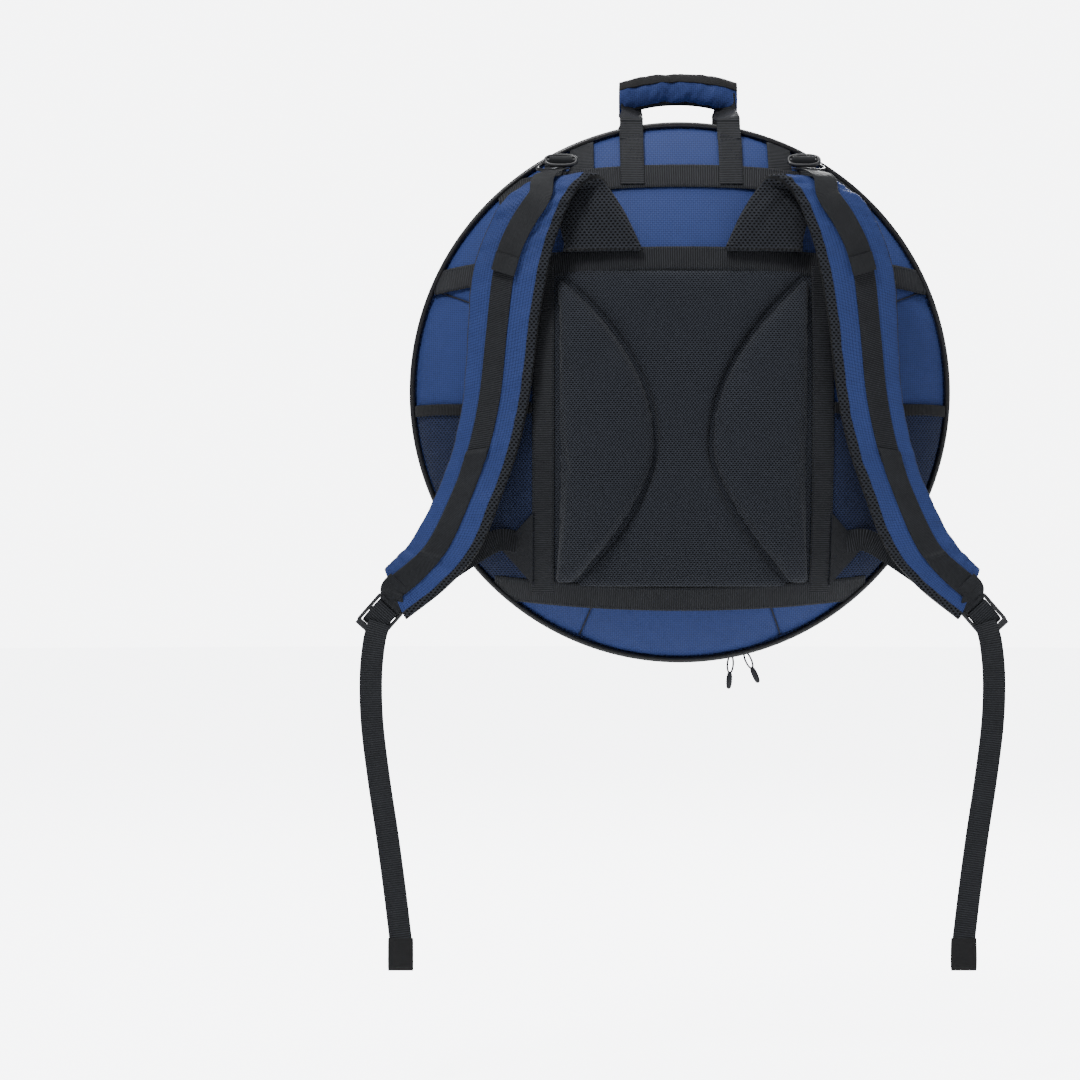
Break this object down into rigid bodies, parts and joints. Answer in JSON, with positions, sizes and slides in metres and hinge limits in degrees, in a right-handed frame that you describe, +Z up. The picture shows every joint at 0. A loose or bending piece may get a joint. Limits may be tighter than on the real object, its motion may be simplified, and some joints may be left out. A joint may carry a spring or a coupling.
{
  "type": "handpan backpack bag",
  "caption": "Round padded bag for a handpan: zipped lid, carry handle, shoulder straps, mesh back pads and net side pockets, hanging by its handle.",
  "frame": {"origin": "middle of the padded hand grip, which holds the bag up", "axes": "+Z up, +Y out of the back panel towards the wearer, +X to the wearer's right"},
  "size_m": [0.6882, 0.2968, 0.961],
  "materials": {
    "navy": "heavy navy pack cloth",
    "navy_light": "heavy navy pack cloth",
    "webbing": "black ribbed webbing",
    "air_mesh": "black spacer mesh",
    "net": "dark blue stretch net",
    "satin": "black satin lining",
    "foam": "closed-cell foam",
    "piping": "black piping",
    "metal": "gunmetal black",
    "plastic": "black acetal"
  },
  "bodies": {
    "tray": {"back_cover": "navy", "back_foam": "foam", "tray_lining": "satin", "gusset_cover": "navy", "gusset_foam": "foam", "back_piping": "piping", "zip_tape_back": "webbing", "hinge_patch": "piping", "back_top_band": "webbing", "back_middle_band": "webbing", "back_bottom_band": "webbing", "back_left_handle_leg": "webbing", "back_right_handle_leg": "webbing", "centre_pad": "air_mesh", "left_crescent_pad": "air_mesh", "right_crescent_pad": "air_mesh", "left_pad_webbing": "webbing", "right_pad_webbing": "webbing", "left_side_pocket": "net", "right_side_pocket": "net", "left_corner_tab": "webbing", "right_corner_tab": "webbing", "left_strap_root": "air_mesh", "right_strap_root": "air_mesh", "left_tether": "webbing", "right_tether": "webbing"},
    "lid": {"front_cover": "navy", "front_foam": "foam", "front_lining": "satin", "front_piping": "piping", "zip_tape_front": "webbing", "front_band": "webbing", "front_left_handle_leg": "webbing", "front_right_handle_leg": "webbing", "label_patch": "piping"},
    "back_handle": {"back_loop": "webbing"},
    "front_handle": {"front_loop": "webbing", "handle_wrap": "navy_light"},
    "left_strap": {"left_strap_pad": "navy_light", "left_strap_webbing": "webbing", "left_lifter_webbing": "webbing"},
    "left_lock": {"left_ladder_lock": "plastic"},
    "left_tail_end": {"left_tail": "webbing", "left_tail_keeper": "webbing"},
    "back_left_ring": {"back_left_d_ring": "metal"},
    "left_adjuster": {"left_lifter_adjuster": "plastic"},
    "front_left_ring": {"front_left_d_ring": "metal"},
    "right_strap": {"right_strap_pad": "navy_light", "right_strap_webbing": "webbing", "right_lifter_webbing": "webbing"},
    "right_lock": {"right_ladder_lock": "plastic"},
    "right_tail_end": {"right_tail": "webbing", "right_tail_keeper": "webbing"},
    "back_right_ring": {"back_right_d_ring": "metal"},
    "right_adjuster": {"right_lifter_adjuster": "plastic"},
    "front_right_ring": {"front_right_d_ring": "metal"},
    "far_slider": {"zip_slider_far": "metal"},
    "far_pull": {"zip_pull_far": "piping"},
    "near_slider": {"zip_slider_near": "metal"},
    "near_pull": {"zip_pull_near": "piping"}
  },
  "joints": [
    {"name": "lid_hinge", "type": "hinge", "parent": "tray", "child": "lid", "pos_m": [0, -0.032, -0.618], "axis": [1, 0, 0], "range_deg": [0, 105], "deforming": ["handle_wrap"]},
    {"name": "back_handle_fold", "type": "hinge", "parent": "tray", "child": "back_handle", "pos_m": [0, 0.05, -0.038], "axis": [1, 0, 0], "range_deg": [-95, 0]},
    {"name": "front_handle_fold", "type": "hinge", "parent": "lid", "child": "front_handle", "pos_m": [0, -0.05, -0.038], "axis": [1, 0, 0], "range_deg": [0, 95]},
    {"name": "left_strap_swing", "type": "hinge", "parent": "tray", "child": "left_strap", "pos_m": [0, 0.126, -0.098], "axis": [1, 0, 0], "range_deg": [0, 40], "deforming": ["left_tether", "left_lifter_webbing"]},
    {"name": "left_lock_tilt", "type": "hinge", "parent": "left_strap", "child": "left_lock", "pos_m": [-0.30778, 0.10236, -0.5533], "axis": [0.7405, 0.0988, -0.6648], "range_deg": [-20, 20]},
    {"name": "left_tail_swing", "type": "hinge", "parent": "left_lock", "child": "left_tail_end", "pos_m": [-0.319, 0.108, -0.573], "axis": [1, 0, 0], "range_deg": [-25, 25]},
    {"name": "back_left_ring_flip", "type": "hinge", "parent": "tray", "child": "back_left_ring", "pos_m": [-0.13252, 0.06668, -0.0832], "axis": [0.8551, 0.5185, 0], "range_deg": [-30, 15]},
    {"name": "left_adjuster_tilt", "type": "hinge", "parent": "tray", "child": "left_adjuster", "pos_m": [-0.129, 0.09, -0.093], "axis": [1, 0, 0], "range_deg": [0, 20]},
    {"name": "front_left_ring_flip", "type": "hinge", "parent": "lid", "child": "front_left_ring", "pos_m": [-0.1184, -0.06328, -0.07299], "axis": [-0.856, 0.517, 0], "range_deg": [0, 110]},
    {"name": "right_strap_swing", "type": "hinge", "parent": "tray", "child": "right_strap", "pos_m": [0, 0.126, -0.098], "axis": [1, 0, 0], "range_deg": [0, 40], "deforming": ["right_tether", "right_lifter_webbing"]},
    {"name": "right_lock_tilt", "type": "hinge", "parent": "right_strap", "child": "right_lock", "pos_m": [0.30778, 0.10236, -0.5533], "axis": [0.7405, -0.0988, 0.6648], "range_deg": [-20, 20]},
    {"name": "right_tail_swing", "type": "hinge", "parent": "right_lock", "child": "right_tail_end", "pos_m": [0.319, 0.108, -0.573], "axis": [1, 0, 0], "range_deg": [-25, 25]},
    {"name": "back_right_ring_flip", "type": "hinge", "parent": "tray", "child": "back_right_ring", "pos_m": [0.13252, 0.06668, -0.0832], "axis": [0.8551, -0.5185, 0], "range_deg": [-30, 15]},
    {"name": "right_adjuster_tilt", "type": "hinge", "parent": "tray", "child": "right_adjuster", "pos_m": [0.129, 0.09, -0.093], "axis": [1, 0, 0], "range_deg": [0, 20]},
    {"name": "front_right_ring_flip", "type": "hinge", "parent": "lid", "child": "front_right_ring", "pos_m": [0.1184, -0.06328, -0.07299], "axis": [-0.856, -0.517, 0], "range_deg": [0, 110]},
    {"name": "far_slider_travel", "type": "hinge", "parent": "tray", "child": "far_slider", "pos_m": [0, -0.032, -0.327], "axis": [0, 1, 0], "range_deg": [0, 335], "deforming": ["zip_pull_far"]},
    {"name": "far_pull_swing", "type": "hinge", "parent": "far_slider", "child": "far_pull", "pos_m": [-0.07498, -0.0305, -0.6088], "axis": [1, 0, 0], "range_deg": [-70, 70]},
    {"name": "near_slider_travel", "type": "hinge", "parent": "tray", "child": "near_slider", "pos_m": [0, -0.032, -0.327], "axis": [0, 1, 0], "range_deg": [-5, 0], "deforming": ["zip_pull_near"]},
    {"name": "near_pull_swing", "type": "hinge", "parent": "near_slider", "child": "near_pull", "pos_m": [-0.05963, -0.0305, -0.61244], "axis": [1, 0, 0], "range_deg": [-70, 70]}
  ]
}
